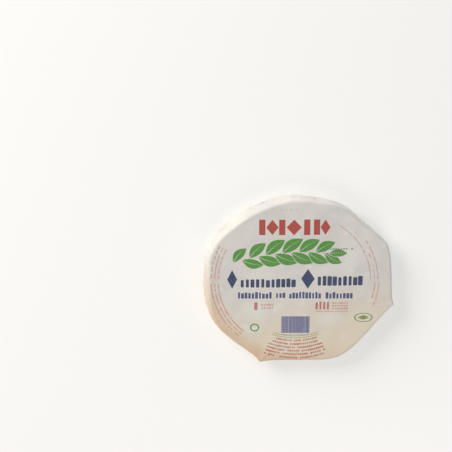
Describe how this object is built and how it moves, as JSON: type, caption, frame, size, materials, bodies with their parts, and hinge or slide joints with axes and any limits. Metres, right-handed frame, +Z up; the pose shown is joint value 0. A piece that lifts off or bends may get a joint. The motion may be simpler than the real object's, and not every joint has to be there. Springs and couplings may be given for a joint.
{
  "type": "brie wheel",
  "caption": "Low round wheel of soft cheese in a folded white paper wrapper, lying flat with its printed face up.",
  "frame": {"origin": "under the middle of the wheel's box, on the flat patch that it rests on", "axes": "+Z up through the printed face, +Y towards the top of the print, +X towards its right"},
  "size_m": [0.2396, 0.23, 0.024],
  "materials": {
    "wrapper_paper": "satin waxed paper, creased, printed on the face"
  },
  "bodies": {
    "root": {"wrapped_wheel": "wrapper_paper"}
  },
  "joints": []
}
